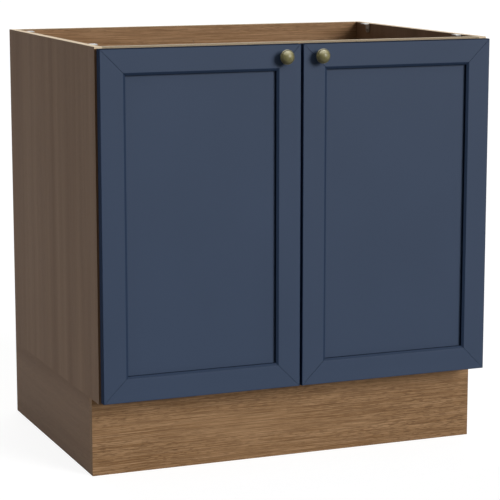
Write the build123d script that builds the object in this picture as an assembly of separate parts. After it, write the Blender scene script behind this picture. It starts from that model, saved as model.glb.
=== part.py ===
from build123d import *
import os
from collections import defaultdict

# Kitchen base cabinet without its worktop: a board carcass on a separate plinth, two doors with mitred
# frames on concealed cup hinges, and angle brackets for a worktop. All sizes are in millimetres.
# +Z is up, the front faces -Y and +X is to the right as seen from the front. The origin is on the
# floor, in the middle of the cabinet's box.

# Carcass boards
WIDTH = 800.0
CARCASS_HEIGHT = 663.0
CARCASS_DEPTH = 580.0
BOARD = 15.0
TOP_RAIL_HEIGHT = 70.0
BACK_THICKNESS = 3.0
BACK_REBATE = 8.0
BACK_FIT = 0.5

# Plinth
PLINTH_HEIGHT = 150.0
PLINTH_SETBACK = 45.0

# Shelf and its pins
SHELF_HEIGHT = 290.0
SHELF_SETBACK = 70.0
SHELF_END_FIT = 1.0
SHELF_BACK_FIT = 2.0
SHELF_PIN_RADIUS = 2.5
SHELF_PIN_COLLAR = 3.5
SHELF_PIN_IN = 8.0
SHELF_PIN_OUT = 9.0
SHELF_PIN_INSET = 60.0
SHELF_HOLE_PITCH = 32.0
SHELF_HOLE_LEVELS = (-1, 0, 1)

# Doors
DOOR_THICKNESS = 18.0
DOOR_GAP = 3.0
DOOR_SIDE_REVEAL = 3.0
DOOR_TOP_REVEAL = 3.0
DOOR_BOTTOM_REVEAL = 4.0
DOOR_MIDDLE_GAP = 5.0
FRAME_FLAT = 44.0
FRAME_BEVEL = 5.0
FRAME_BEVEL_DEPTH = 2.7
PANEL_RECESS = 8.0
PANEL_THICKNESS = 6.0
PANEL_GROOVE = 6.0
PANEL_FIT = 0.5
FRAME_FRONT_ROUND = 1.0
FRAME_BACK_ROUND = 1.5
CORNER_DOWEL_RADIUS = 3.0
CORNER_DOWEL_LENGTH = 28.0
BUMPER_RADIUS = 4.5
BUMPER_THICKNESS = 2.5
BUMPER_EDGE = 20.0
BUMPER_END = 6.0

# Knobs: radii and heights of the turned profile, from the door outwards
KNOB_EDGE = 34.0
KNOB_DROP = 23.0
KNOB_BASE_RADIUS = 7.5
KNOB_BASE_HEIGHT = 1.5
KNOB_NECK_RADIUS = 5.0
KNOB_NECK_HEIGHT = 7.0
KNOB_BASE_COVE = (-1.0, 0.3)
KNOB_RIM_RADIUS = 15.0
KNOB_RIM_SHOULDER = 14.2
KNOB_RIM_LOW = 12.5
KNOB_RIM_HIGH = 16.0
KNOB_GROOVE_WIDTH = 0.6
KNOB_GROOVE_DEPTH = 0.8
KNOB_DOME_RADIUS = 13.2
KNOB_HEIGHT = 25.0
KNOB_SCREW_RADIUS = 2.0
KNOB_SCREW_REACH = 8.0
KNOB_SCREW_HEAD_RADIUS = 4.0
KNOB_SCREW_HEAD_HEIGHT = 2.2

# Cup hinges. Across is measured inwards from the cabinet's side, ahead from the carcass's front edge.
HINGE_END_DISTANCE = 100.0
CUP_EDGE = 3.0
CUP_HOLE_RADIUS = 17.5
CUP_FIT = 0.1
CUP_DEPTH = 12.5
CUP_WALL = 1.2
CUP_FLOOR = 1.0
CUP_FLANGE = 1.2
CUP_FLANGE_WIDTH = 17.0
CUP_FLANGE_LENGTH = 57.0
CUP_FLANGE_CORNER = 5.0
CUP_FLANGE_SHIFT = 8.0
CUP_SCREW_SPACING = 45.0
CUP_SCREW_SHIFT = 9.5
PIN_RADIUS = 1.5
PIN_FIT = 0.05
EYE_RADIUS = 2.5
EYE_HALF_WIDTH = 4.5
EYE_CLEARANCE = 0.3
CHEEK_THICKNESS = 2.0
NECK_THICKNESS = 2.0
NECK_REACH = 14.5
NECK_RISE = 1.8
NECK_BEND = 5.0
NECK_LENGTH = 18.0
ARM_HALF_WIDTH = 7.0
ARM_WALL = 1.5
ARM_BACK = 58.0
ARM_FIT = 0.2
PLATE_THICKNESS = 2.5
PLATE_LINE = 37.0
PLATE_SCREW_SPACING = 32.0
PLATE_WING_LENGTH = 48.0
PLATE_WING_WIDTH = 12.0
PLATE_BLOCK_FRONT = 14.0
PLATE_BLOCK_BACK = 54.0

# Angle brackets for the worktop and the plinth
BRACKET_WIDTH = 17.0
BRACKET_DROP = 20.0
BRACKET_REACH = 14.0
BRACKET_THICKNESS = 2.0
BRACKET_BEND = 3.0
BRACKET_ROUND = 6.0
BRACKET_INSET = 79.0
PLINTH_BRACKET_INSET = 112.0
BRACKET_SCREW_DROP = 13.0
BRACKET_HOLE_REACH = 8.5
BRACKET_HOLE_RADIUS = 2.25

# Screws, nails, cams and dowels
SCREW_RADIUS = 1.75
SCREW_LENGTH = 12.0
SCREW_HEAD_RADIUS = 3.5
SCREW_HEAD_HEIGHT = 2.0
SCREW_HEAD_TOP_RADIUS = 2.5
ARM_SCREW_LENGTH = 8.0
DRILL_FIT = 0.05
DRILL_SPARE = 0.5
NAIL_RADIUS = 1.0
NAIL_LENGTH = 18.0
NAIL_HEAD_RADIUS = 2.2
NAIL_HEAD_HEIGHT = 0.9
NAIL_EDGE = 4.0
NAIL_ROW_END = 40.0
NAIL_SIDE_END = 120.0
CAM_RADIUS = 7.4
CAM_DEPTH = 12.0
CAM_SETBACK = 34.0
BOLT_RADIUS = 3.0
BOLT_PILOT_RADIUS = 2.5
BOLT_PILOT = 10.0
DOWEL_RADIUS = 4.0
DOWEL_IN = 18.0
DOWEL_OUT = 9.0
BOTTOM_JOINT_END = 90.0
BOTTOM_DOWEL_STEP = 48.0
RAIL_CAM_DROP = 46.0
RAIL_DOWEL_DROP = 22.0
PLINTH_CAM_HEIGHT = 95.0
PLINTH_DOWEL_HEIGHT = 45.0

# Places that follow from the sizes
HEIGHT = PLINTH_HEIGHT + CARCASS_HEIGHT
DEPTH = CARCASS_DEPTH + DOOR_GAP + DOOR_THICKNESS + KNOB_HEIGHT
SIDE_X = WIDTH / 2
INNER_X = SIDE_X - BOARD
BACK_Y = DEPTH / 2
FRONT_Y = BACK_Y - CARCASS_DEPTH
BACK_BOARD_Y = BACK_Y - BACK_THICKNESS
PLINTH_Y = FRONT_Y + PLINTH_SETBACK
FLOOR_Z = PLINTH_HEIGHT + BOARD
RAIL_Z = HEIGHT - TOP_RAIL_HEIGHT
DOOR_BACK_Y = FRONT_Y - DOOR_GAP
DOOR_FRONT_Y = DOOR_BACK_Y - DOOR_THICKNESS
DOOR_TOP_Z = HEIGHT - DOOR_TOP_REVEAL
DOOR_BOTTOM_Z = PLINTH_HEIGHT + DOOR_BOTTOM_REVEAL
DOOR_OUTER_X = -SIDE_X + DOOR_SIDE_REVEAL
DOOR_INNER_X = -DOOR_MIDDLE_GAP / 2
FRAME_WIDTH = FRAME_FLAT + FRAME_BEVEL
KNOB_X = DOOR_INNER_X - KNOB_EDGE
KNOB_Z = DOOR_TOP_Z - KNOB_DROP
CUP_RADIUS = CUP_HOLE_RADIUS - CUP_FIT
CUP_INNER_RADIUS = CUP_RADIUS - CUP_WALL
CUP_ACROSS = DOOR_SIDE_REVEAL + CUP_EDGE + CUP_HOLE_RADIUS
HINGE_HEIGHTS = (DOOR_BOTTOM_Z + HINGE_END_DISTANCE, DOOR_TOP_Z - HINGE_END_DISTANCE)

# The hinge pin lies as near to the cup's wall and floor as its eye allows.
EYE_CHORD = (CUP_INNER_RADIUS**2 - EYE_HALF_WIDTH**2) ** 0.5
PIN_ACROSS = CUP_ACROSS - EYE_CHORD + EYE_RADIUS + EYE_CLEARANCE
PIN_AHEAD = DOOR_GAP + CUP_DEPTH - CUP_FLOOR - EYE_RADIUS - EYE_CLEARANCE

RIGHTWARDS = Vector(1, 0, 0)
BACKWARDS = Vector(0, 1, 0)
UPWARDS = Vector(0, 0, 1)

# Drillings, listed under the name of the board or piece that they go into
drillings = defaultdict(list)
nodes = {}


def block(x, y, z):
    """A square-cut piece that fills three (low, high) spans."""
    spans = (x, y, z)
    centre = [(low + high) / 2 for low, high in spans]
    return Pos(*centre) * Box(*[high - low for low, high in spans])


def rod(start, direction, length, radius):
    """A round bar from a point along a direction."""
    base = Plane(origin=start, z_dir=direction)
    return base * Cylinder(radius, length, align=(Align.CENTER, Align.CENTER, Align.MIN))


def mirrored(shape):
    """The same shape on the other side of the cabinet."""
    return shape.mirror(Plane.YZ)


def group(solids):
    """One node of one piece, or of several separate pieces."""
    pieces = list(solids)
    return pieces[0] if len(pieces) == 1 else Compound(children=pieces)


def drilled(name, shape):
    """The named piece with its drillings taken out."""
    return shape - drillings[name] if drillings[name] else shape


def screw(head_seat, direction, length=SCREW_LENGTH, radius=SCREW_RADIUS):
    """A pan-head screw whose head sits on head_seat and whose shank runs along direction."""
    upright = (Align.CENTER, Align.CENTER, Align.MIN)
    head = Cone(SCREW_HEAD_RADIUS, SCREW_HEAD_TOP_RADIUS, SCREW_HEAD_HEIGHT, align=upright)
    return Plane(origin=head_seat, z_dir=direction * -1) * head + rod(head_seat, direction, length, radius)


def drill(names, start, direction, length, radius):
    """Lists the same drilling, a little wider and deeper than its fastener, under each name."""
    cutter = rod(start, direction, length + DRILL_SPARE, radius + DRILL_FIT)
    for name in names:
        drillings[name].append(cutter)


# Cam joints: a cam lock in one board pulls on a bolt that is screwed into the other.
cam_locks, cam_bolts, dowels = [], [], []


def cam_joint(cam_board, bolt_board, point, inward, cam_side):
    """Adds one cam joint.

    point is on the joint at mid board, inward points into the board that holds the lock, and cam_side
    points from the middle of that board to the face that the lock is let into.
    """
    lock_foot = point + inward * CAM_SETBACK + cam_side * (BOARD / 2 - CAM_DEPTH)
    cam_locks.append(rod(lock_foot, cam_side, CAM_DEPTH, CAM_RADIUS))
    drillings[cam_board].append(rod(lock_foot, cam_side, CAM_DEPTH, CAM_RADIUS + DRILL_FIT))
    shank = CAM_SETBACK - CAM_RADIUS - DRILL_SPARE
    thread = rod(point, inward * -1, BOLT_PILOT, BOLT_PILOT_RADIUS)
    cam_bolts.append(rod(point, inward, shank, BOLT_RADIUS) + thread)
    drill([cam_board], point, inward, shank, BOLT_RADIUS)
    drill([bolt_board], point, inward * -1, BOLT_PILOT, BOLT_PILOT_RADIUS)


def dowel_joint(end_board, face_board, point, inward):
    """Adds one wooden dowel from the end of one board into the face of another."""
    foot = point - inward * DOWEL_OUT
    dowels.append(rod(foot, inward, DOWEL_OUT + DOWEL_IN, DOWEL_RADIUS))
    drill([end_board], point, inward, DOWEL_IN, DOWEL_RADIUS)
    drill([face_board], point, inward * -1, DOWEL_OUT, DOWEL_RADIUS)


def angle_bracket(corner, across):
    """An angle bracket: one leg reaches along across in line with corner, the other hangs down the side."""
    outline = Polyline(
        (0, 0),
        (BRACKET_REACH, 0),
        (BRACKET_REACH, -BRACKET_THICKNESS),
        (BRACKET_THICKNESS, -BRACKET_THICKNESS),
        (BRACKET_THICKNESS, -BRACKET_DROP),
        (0, -BRACKET_DROP),
        close=True,
    )
    section = make_face(outline)
    section = fillet(section.vertices().sort_by_distance((0, 0))[0], BRACKET_BEND)
    plane = Plane(origin=corner, x_dir=across, z_dir=across.cross(UPWARDS))
    bracket = extrude(plane * section, BRACKET_WIDTH / 2, both=True)
    low_corners = bracket.edges().filter_by(Axis.X).group_by(Axis.Z)[0]
    bracket = fillet(low_corners, BRACKET_ROUND)
    side_hole = rod(corner - UPWARDS * BRACKET_SCREW_DROP, across, BRACKET_REACH, SCREW_RADIUS + DRILL_FIT)
    top_hole = rod(corner + across * BRACKET_HOLE_REACH, UPWARDS * -1, BRACKET_DROP, BRACKET_HOLE_RADIUS)
    return bracket - [side_hole, top_hole]


# Joints between the boards, and the brackets, on the left and on the right
worktop_brackets, worktop_screws = [], []
plinth_brackets, plinth_screws = [], []
shelf_pins = []
shelf_z = FLOOR_Z + SHELF_HEIGHT
pin_z = shelf_z - SHELF_PIN_COLLAR
shelf_front_y = FRONT_Y + SHELF_SETBACK
shelf_back_y = BACK_BOARD_Y - SHELF_BACK_FIT

for side, hand in ((-1, "left"), (1, "right")):
    side_panel = f"{hand}_side_panel"
    plinth_side = f"{hand}_plinth_side"
    inward = RIGHTWARDS * -side
    inner = RIGHTWARDS * (side * INNER_X)
    mid_side_x = side * (SIDE_X - BOARD / 2)
    bottom_z = PLINTH_HEIGHT + BOARD / 2

    for end_y, step in ((FRONT_Y + BOTTOM_JOINT_END, 1), (BACK_BOARD_Y - BOTTOM_JOINT_END, -1)):
        joint = inner + BACKWARDS * end_y + UPWARDS * bottom_z
        cam_joint("bottom_panel", side_panel, joint, inward, UPWARDS * -1)
        beside = joint + BACKWARDS * (step * BOTTOM_DOWEL_STEP)
        dowel_joint("bottom_panel", side_panel, beside, inward)

    rail_lines = {"front_top_rail": FRONT_Y + BOARD / 2, "back_top_rail": BACK_BOARD_Y - BOARD / 2}
    for rail, rail_y in rail_lines.items():
        rail_end = inner + BACKWARDS * rail_y
        cam_joint(rail, side_panel, rail_end + UPWARDS * (HEIGHT - RAIL_CAM_DROP), inward, BACKWARDS)
        dowel_joint(rail, side_panel, rail_end + UPWARDS * (HEIGHT - RAIL_DOWEL_DROP), inward)

    front_joint = RIGHTWARDS * mid_side_x + BACKWARDS * (PLINTH_Y + BOARD)
    cam_joint(plinth_side, "plinth_front", front_joint + UPWARDS * PLINTH_CAM_HEIGHT, BACKWARDS, inward)
    dowel_joint(plinth_side, "plinth_front", front_joint + UPWARDS * PLINTH_DOWEL_HEIGHT, BACKWARDS)
    back_joint = inner + BACKWARDS * (BACK_Y - BOARD / 2)
    cam_joint("plinth_back", plinth_side, back_joint + UPWARDS * PLINTH_CAM_HEIGHT, inward, BACKWARDS * -1)
    dowel_joint("plinth_back", plinth_side, back_joint + UPWARDS * PLINTH_DOWEL_HEIGHT, inward)

    for bracket_y in (FRONT_Y + BRACKET_INSET, BACK_Y - BRACKET_INSET):
        corner = inner + BACKWARDS * bracket_y + UPWARDS * HEIGHT
        worktop_brackets.append(angle_bracket(corner, inward))
        seat = corner + inward * BRACKET_THICKNESS - UPWARDS * BRACKET_SCREW_DROP
        worktop_screws.append(screw(seat, inward * -1))
        drill([side_panel], seat, inward * -1, SCREW_LENGTH, SCREW_RADIUS)

    for bracket_y in (PLINTH_Y + PLINTH_BRACKET_INSET, BACK_Y - PLINTH_BRACKET_INSET):
        corner = inner + BACKWARDS * bracket_y + UPWARDS * PLINTH_HEIGHT
        plinth_brackets.append(angle_bracket(corner, inward))
        seat = corner + inward * BRACKET_THICKNESS - UPWARDS * BRACKET_SCREW_DROP
        plinth_screws.append(screw(seat, inward * -1))
        drill([plinth_side], seat, inward * -1, SCREW_LENGTH, SCREW_RADIUS)
        seat = corner + inward * BRACKET_HOLE_REACH - UPWARDS * BRACKET_THICKNESS
        plinth_screws.append(screw(seat, UPWARDS))
        drill(["bottom_panel"], seat, UPWARDS, SCREW_LENGTH, SCREW_RADIUS)

    for pin_y in (shelf_front_y + SHELF_PIN_INSET, shelf_back_y - SHELF_PIN_INSET):
        seat = inner + BACKWARDS * pin_y + UPWARDS * pin_z
        collar = rod(seat, inward, SHELF_PIN_OUT, SHELF_PIN_COLLAR)
        shelf_pins.append(collar + rod(seat, inward * -1, SHELF_PIN_IN, SHELF_PIN_RADIUS))
        for level in SHELF_HOLE_LEVELS:
            hole = seat + UPWARDS * (level * SHELF_HOLE_PITCH)
            drill([side_panel], hole, inward * -1, SHELF_PIN_IN, SHELF_PIN_RADIUS)

# Back panel nails: a row into the top rail, a row into the bottom panel and a row into each side panel
back_nails = []
half_row = INNER_X - NAIL_ROW_END
nail_rows = [("back_top_rail", x, HEIGHT - TOP_RAIL_HEIGHT / 2) for x in (-half_row, 0, half_row)]
nail_rows += [("bottom_panel", x, PLINTH_HEIGHT + BOARD / 2) for x in (-half_row, 0, half_row)]
side_nail_x = INNER_X + BACK_REBATE - NAIL_EDGE
for height in (FLOOR_Z + NAIL_SIDE_END, RAIL_Z - NAIL_SIDE_END):
    nail_rows += [("left_side_panel", -side_nail_x, height), ("right_side_panel", side_nail_x, height)]
for board, nail_x, nail_z in nail_rows:
    seat = Vector(nail_x, BACK_Y, nail_z)
    head = rod(seat, BACKWARDS * -1, NAIL_HEAD_HEIGHT, NAIL_HEAD_RADIUS)
    back_nails.append(head + rod(seat, BACKWARDS * -1, NAIL_LENGTH, NAIL_RADIUS))
    drill(["back_panel", board], seat, BACKWARDS * -1, NAIL_LENGTH, NAIL_RADIUS)
    drillings["back_panel"].append(rod(seat, BACKWARDS * -1, NAIL_HEAD_HEIGHT, NAIL_HEAD_RADIUS + DRILL_FIT))


# Cup hinges of the left door
def hinge_plan(height):
    """The plane of a hinge's plan: local x runs across the cabinet, local y ahead of the carcass."""
    return Plane(origin=(-SIDE_X, FRONT_Y, height), x_dir=(1, 0, 0), z_dir=(0, 0, -1))


def across_block(height, across, ahead, half_width):
    """A square block given by its spans across and ahead, and half its height."""
    x = (-SIDE_X + across[0], -SIDE_X + across[1])
    y = (FRONT_Y - ahead[1], FRONT_Y - ahead[0])
    return block(x, y, (height - half_width, height + half_width))


def hinge_point(height, across, ahead):
    """A point of a hinge in the cabinet's frame."""
    return Vector(-SIDE_X + across, FRONT_Y - ahead, height)


arm_top = PIN_ACROSS + NECK_REACH + NECK_THICKNESS / 2
arm_under = arm_top - NECK_THICKNESS
arm_front = NECK_LENGTH - PIN_AHEAD
plate_top = BOARD + PLATE_THICKNESS
pin_half_length = EYE_HALF_WIDTH + EYE_CLEARANCE + CHEEK_THICKNESS


def hinge_arm(height):
    """A cranked arm: an eye round the pin, a neck that leaves the cup, and a channel over the plate."""
    line = FilletPolyline((0, 0), (NECK_REACH, NECK_RISE), (NECK_REACH, -NECK_LENGTH), radius=NECK_BEND)
    neck = Pos(PIN_ACROSS, PIN_AHEAD) * (trace(line, NECK_THICKNESS) + Circle(EYE_RADIUS))
    neck = extrude(hinge_plan(height) * neck, EYE_HALF_WIDTH, both=True)
    channel = across_block(height, (plate_top, arm_top), (-ARM_BACK, -arm_front), ARM_HALF_WIDTH)
    hollow = ARM_HALF_WIDTH - ARM_WALL
    channel -= across_block(height, (plate_top, arm_under), (-ARM_BACK, -arm_front), hollow)
    bore_foot = hinge_point(height - EYE_HALF_WIDTH, PIN_ACROSS, PIN_AHEAD)
    bore = rod(bore_foot, UPWARDS, 2 * EYE_HALF_WIDTH, PIN_RADIUS + PIN_FIT)
    seat = hinge_point(height, arm_top, -PLATE_LINE)
    screw_hole = rod(seat, RIGHTWARDS * -1, NECK_THICKNESS, SCREW_RADIUS + DRILL_FIT)
    return neck + channel - [bore, screw_hole]


def hinge_plate(height):
    """A wing plate on the side panel, with a block that fills the arm's channel."""
    wing_low, wing_high = -PLATE_LINE - PLATE_WING_WIDTH / 2, -PLATE_LINE + PLATE_WING_WIDTH / 2
    wing = across_block(height, (BOARD, plate_top), (wing_low, wing_high), PLATE_WING_LENGTH / 2)
    hollow = ARM_HALF_WIDTH - ARM_WALL - ARM_FIT
    core = across_block(height, (BOARD, arm_under), (-PLATE_BLOCK_BACK, -PLATE_BLOCK_FRONT), hollow)
    seat = hinge_point(height, arm_top, -PLATE_LINE)
    holes = [rod(seat, RIGHTWARDS * -1, ARM_SCREW_LENGTH + DRILL_SPARE, SCREW_RADIUS + DRILL_FIT)]
    for side in (-1, 1):
        foot = hinge_point(height + side * PLATE_SCREW_SPACING / 2, plate_top, -PLATE_LINE)
        holes.append(rod(foot, RIGHTWARDS * -1, PLATE_THICKNESS, SCREW_RADIUS + DRILL_FIT))
    return wing + core - holes


def hinge_cup(height):
    """A drawn cup for the door's back with a screw flange, and two cheeks inside that hold the pin."""
    mouth = hinge_point(height, CUP_ACROSS, DOOR_GAP)
    ahead = BACKWARDS * -1
    envelope = rod(mouth, ahead, CUP_DEPTH, CUP_RADIUS)
    back = Plane(origin=mouth, x_dir=(1, 0, 0), z_dir=(0, 1, 0))
    outline = RectangleRounded(CUP_FLANGE_WIDTH, CUP_FLANGE_LENGTH, CUP_FLANGE_CORNER)
    cup = envelope + extrude(back * Pos(CUP_FLANGE_SHIFT, 0) * outline, CUP_FLANGE)
    cup -= rod(mouth + BACKWARDS * CUP_FLANGE, ahead, CUP_FLANGE + CUP_DEPTH - CUP_FLOOR, CUP_INNER_RADIUS)
    cheek_across = (CUP_ACROSS - CUP_RADIUS, PIN_ACROSS + EYE_RADIUS)
    cheek_ahead = (PIN_AHEAD - EYE_RADIUS, DOOR_GAP + CUP_DEPTH)
    cheeks = across_block(height, cheek_across, cheek_ahead, pin_half_length)
    cheeks -= across_block(height, cheek_across, cheek_ahead, pin_half_length - CHEEK_THICKNESS)
    cup += cheeks & envelope
    pin_foot = hinge_point(height - pin_half_length, PIN_ACROSS, PIN_AHEAD)
    holes = [rod(pin_foot, UPWARDS, 2 * pin_half_length, PIN_RADIUS + PIN_FIT)]
    for seat in cup_screw_seats(height):
        holes.append(rod(seat, ahead, CUP_FLANGE, SCREW_RADIUS + DRILL_FIT))
    return cup - holes


def cup_screw_seats(height):
    """Where the two screws of a cup's flange sit."""
    level = [height - CUP_SCREW_SPACING / 2, height + CUP_SCREW_SPACING / 2]
    return [hinge_point(z, CUP_ACROSS + CUP_SCREW_SHIFT, DOOR_GAP - CUP_FLANGE) for z in level]


hinge_arms, hinge_plates, hinge_cups, hinge_pins = [], [], [], []
plate_screws, arm_screws, cup_screws = [], [], []
for height in HINGE_HEIGHTS:
    hinge_arms.append(hinge_arm(height))
    hinge_plates.append(hinge_plate(height))
    hinge_cups.append(hinge_cup(height))
    pin_foot = hinge_point(height - pin_half_length, PIN_ACROSS, PIN_AHEAD)
    hinge_pins.append(rod(pin_foot, UPWARDS, 2 * pin_half_length, PIN_RADIUS))
    arm_screws.append(screw(hinge_point(height, arm_top, -PLATE_LINE), RIGHTWARDS * -1, ARM_SCREW_LENGTH))
    for level in (-1, 1):
        seat = hinge_point(height + level * PLATE_SCREW_SPACING / 2, plate_top, -PLATE_LINE)
        plate_screws.append(screw(seat, RIGHTWARDS * -1))
        drill(["left_side_panel"], seat, RIGHTWARDS * -1, SCREW_LENGTH, SCREW_RADIUS)
        drillings["right_side_panel"].append(mirrored(drillings["left_side_panel"][-1]))
    for seat in cup_screw_seats(height):
        cup_screws.append(screw(seat, BACKWARDS * -1))
        drill(["left_door_hinge_stile"], seat, BACKWARDS * -1, SCREW_LENGTH, SCREW_RADIUS)
    cup_mouth = hinge_point(height, CUP_ACROSS, DOOR_GAP)
    drillings["left_door_hinge_stile"].append(rod(cup_mouth, BACKWARDS * -1, CUP_DEPTH, CUP_HOLE_RADIUS))


# Left door
def frame_section():
    """The section of a door frame member: x from the door's edge inwards, y from its front backwards."""
    back, inner = DOOR_THICKNESS, FRAME_WIDTH
    groove_end = PANEL_RECESS + PANEL_THICKNESS
    outline = Polyline(
        (0, 0),
        (FRAME_FLAT, 0),
        (inner, FRAME_BEVEL_DEPTH),
        (inner, PANEL_RECESS),
        (inner - PANEL_GROOVE, PANEL_RECESS),
        (inner - PANEL_GROOVE, groove_end),
        (inner, groove_end),
        (inner, back),
        (0, back),
        close=True,
    )
    section = make_face(outline)
    corners = section.vertices()
    section = fillet(corners.sort_by_distance((0, 0))[0], FRAME_FRONT_ROUND)
    return fillet(section.vertices().sort_by_distance((0, back))[0], FRAME_BACK_ROUND)


def corner_dowel(spare=0.0, fit=0.0):
    """The dowel across the mitre at a member's lower end, longer and wider by spare and fit for its hole."""
    middle = Vector(FRAME_FLAT / 2, DOOR_THICKNESS / 2, FRAME_FLAT / 2)
    direction = Vector(1, 0, -1).normalized()
    half = CORNER_DOWEL_LENGTH / 2 + spare
    return rod(middle - direction * half, direction, 2 * half, CORNER_DOWEL_RADIUS + fit)


def frame_member(length):
    """A frame member that stands on its lower outer corner, mitred and drilled for a dowel at both ends."""
    bar = extrude(frame_section(), length)
    mitres = Polyline(
        (0, 0),
        (FRAME_WIDTH, FRAME_WIDTH),
        (FRAME_WIDTH, length - FRAME_WIDTH),
        (0, length),
        close=True,
    )
    wedge = extrude(Plane.XZ * make_face(mitres), DOOR_THICKNESS, dir=BACKWARDS)
    hole = corner_dowel(DRILL_SPARE, DRILL_FIT)
    far_hole = hole.mirror(Plane(origin=(0, 0, length / 2), z_dir=UPWARDS))
    return (bar & wedge) - [hole, far_hole]


door_width = DOOR_INNER_X - DOOR_OUTER_X
door_height = DOOR_TOP_Z - DOOR_BOTTOM_Z
left_door = {}
corner_dowels = []

# Knob on the left door's top rail, and its screw from behind
knob_seat = Vector(KNOB_X, DOOR_FRONT_Y, KNOB_Z)
screw_seat = Vector(KNOB_X, DOOR_BACK_Y, KNOB_Z)
drill(["left_door_top_rail"], screw_seat, BACKWARDS * -1, DOOR_THICKNESS, KNOB_SCREW_RADIUS)


def knob():
    """A turned knob: a foot, a hollow neck, a beaded rim, a fine groove and a low dome."""
    foot = (KNOB_BASE_RADIUS, KNOB_BASE_HEIGHT)
    neck = (KNOB_NECK_RADIUS, KNOB_NECK_HEIGHT)
    rim_low, rim_high = (KNOB_RIM_SHOULDER, KNOB_RIM_LOW), (KNOB_RIM_SHOULDER, KNOB_RIM_HIGH)
    rim_edge = (KNOB_RIM_RADIUS, (KNOB_RIM_LOW + KNOB_RIM_HIGH) / 2)
    groove_edge = (KNOB_DOME_RADIUS + KNOB_GROOVE_WIDTH, KNOB_RIM_HIGH)
    dome_foot, dome_top = (KNOB_DOME_RADIUS, KNOB_RIM_HIGH - KNOB_GROOVE_DEPTH), (0, KNOB_HEIGHT)
    outline = Polyline(dome_top, (0, 0), (KNOB_BASE_RADIUS, 0), foot)
    outline += TangentArc(foot, neck, tangent=KNOB_BASE_COVE)
    outline += TangentArc(neck, rim_low, tangent=(0, 1))
    outline += ThreePointArc(rim_low, rim_edge, rim_high)
    outline += Polyline(rim_high, groove_edge, dome_foot)
    outline += TangentArc(dome_top, dome_foot, tangent=(1, 0))
    turned = revolve(Plane.XZ * make_face(outline), Axis.Z)
    bore = rod((0, 0, 0), UPWARDS, KNOB_SCREW_REACH + DRILL_SPARE, KNOB_SCREW_RADIUS + DRILL_FIT)
    return Plane(origin=knob_seat, x_dir=(1, 0, 0), z_dir=(0, -1, 0)) * (turned - bore)


def knob_screw():
    """A machine screw through the door into the knob."""
    head = rod(screw_seat, BACKWARDS, KNOB_SCREW_HEAD_HEIGHT, KNOB_SCREW_HEAD_RADIUS)
    return head + rod(screw_seat, BACKWARDS * -1, DOOR_THICKNESS + KNOB_SCREW_REACH, KNOB_SCREW_RADIUS)


members = (
    ("hinge_stile", DOOR_OUTER_X, DOOR_BOTTOM_Z, 0, door_height),
    ("top_rail", DOOR_OUTER_X, DOOR_TOP_Z, 90, door_width),
    ("meeting_stile", DOOR_INNER_X, DOOR_TOP_Z, 180, door_height),
    ("bottom_rail", DOOR_INNER_X, DOOR_BOTTOM_Z, 270, door_width),
)
for member, corner_x, corner_z, turn, length in members:
    place = Pos(corner_x, DOOR_FRONT_Y, corner_z) * Rot(0, turn, 0)
    name = f"left_door_{member}"
    left_door[name] = [drilled(name, place * frame_member(length))]
    corner_dowels.append(place * corner_dowel())

panel_edge = FRAME_WIDTH - PANEL_GROOVE + PANEL_FIT
panel_front_y = DOOR_FRONT_Y + PANEL_RECESS
panel = block(
    (DOOR_OUTER_X + panel_edge, DOOR_INNER_X - panel_edge),
    (panel_front_y, panel_front_y + PANEL_THICKNESS),
    (DOOR_BOTTOM_Z + panel_edge, DOOR_TOP_Z - panel_edge),
)
bumper_x = DOOR_INNER_X - BUMPER_EDGE
bumper_levels = (DOOR_BOTTOM_Z + BUMPER_END, DOOR_TOP_Z - BUMPER_END)
bumper_feet = [Vector(bumper_x, DOOR_BACK_Y, level) for level in bumper_levels]
bumpers = [rod(foot, BACKWARDS, BUMPER_THICKNESS, BUMPER_RADIUS) for foot in bumper_feet]
left_door["left_door_panel"] = [panel]
left_door["left_door_bumpers"] = bumpers
left_door["left_door_corner_dowels"] = corner_dowels
left_door["left_hinge_cups"] = hinge_cups
left_door["left_hinge_pins"] = hinge_pins
left_door["left_cup_screws"] = cup_screws
left_door["left_knob"] = [knob()]
left_door["left_knob_screw"] = [knob_screw()]

# Boards
rebate_x = INNER_X + BACK_REBATE
side_board = block((-SIDE_X, -INNER_X), (FRONT_Y, BACK_Y), (PLINTH_HEIGHT, HEIGHT))
side_board -= block((-rebate_x, -INNER_X), (BACK_BOARD_Y, BACK_Y), (PLINTH_HEIGHT, HEIGHT))
plinth_side_board = block((-SIDE_X, -INNER_X), (PLINTH_Y + BOARD, BACK_Y), (0, PLINTH_HEIGHT))
between = (-INNER_X, INNER_X)
shelf_ends = (-INNER_X + SHELF_END_FIT, INNER_X - SHELF_END_FIT)
boards = {
    "left_side_panel": side_board,
    "right_side_panel": mirrored(side_board),
    "bottom_panel": block(between, (FRONT_Y, BACK_BOARD_Y), (PLINTH_HEIGHT, FLOOR_Z)),
    "front_top_rail": block(between, (FRONT_Y, FRONT_Y + BOARD), (RAIL_Z, HEIGHT)),
    "back_top_rail": block(between, (BACK_BOARD_Y - BOARD, BACK_BOARD_Y), (RAIL_Z, HEIGHT)),
    "back_panel": block(
        (-rebate_x + BACK_FIT, rebate_x - BACK_FIT),
        (BACK_BOARD_Y, BACK_Y),
        (PLINTH_HEIGHT + BACK_FIT, HEIGHT - BACK_FIT),
    ),
    "shelf": block(shelf_ends, (shelf_front_y, shelf_back_y), (shelf_z, shelf_z + BOARD)),
    "plinth_front": block((-SIDE_X, SIDE_X), (PLINTH_Y, PLINTH_Y + BOARD), (0, PLINTH_HEIGHT)),
    "left_plinth_side": plinth_side_board,
    "right_plinth_side": mirrored(plinth_side_board),
    "plinth_back": block(between, (BACK_Y - BOARD, BACK_Y), (0, PLINTH_HEIGHT)),
}
for name, board in boards.items():
    nodes[name] = drilled(name, board)

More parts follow.
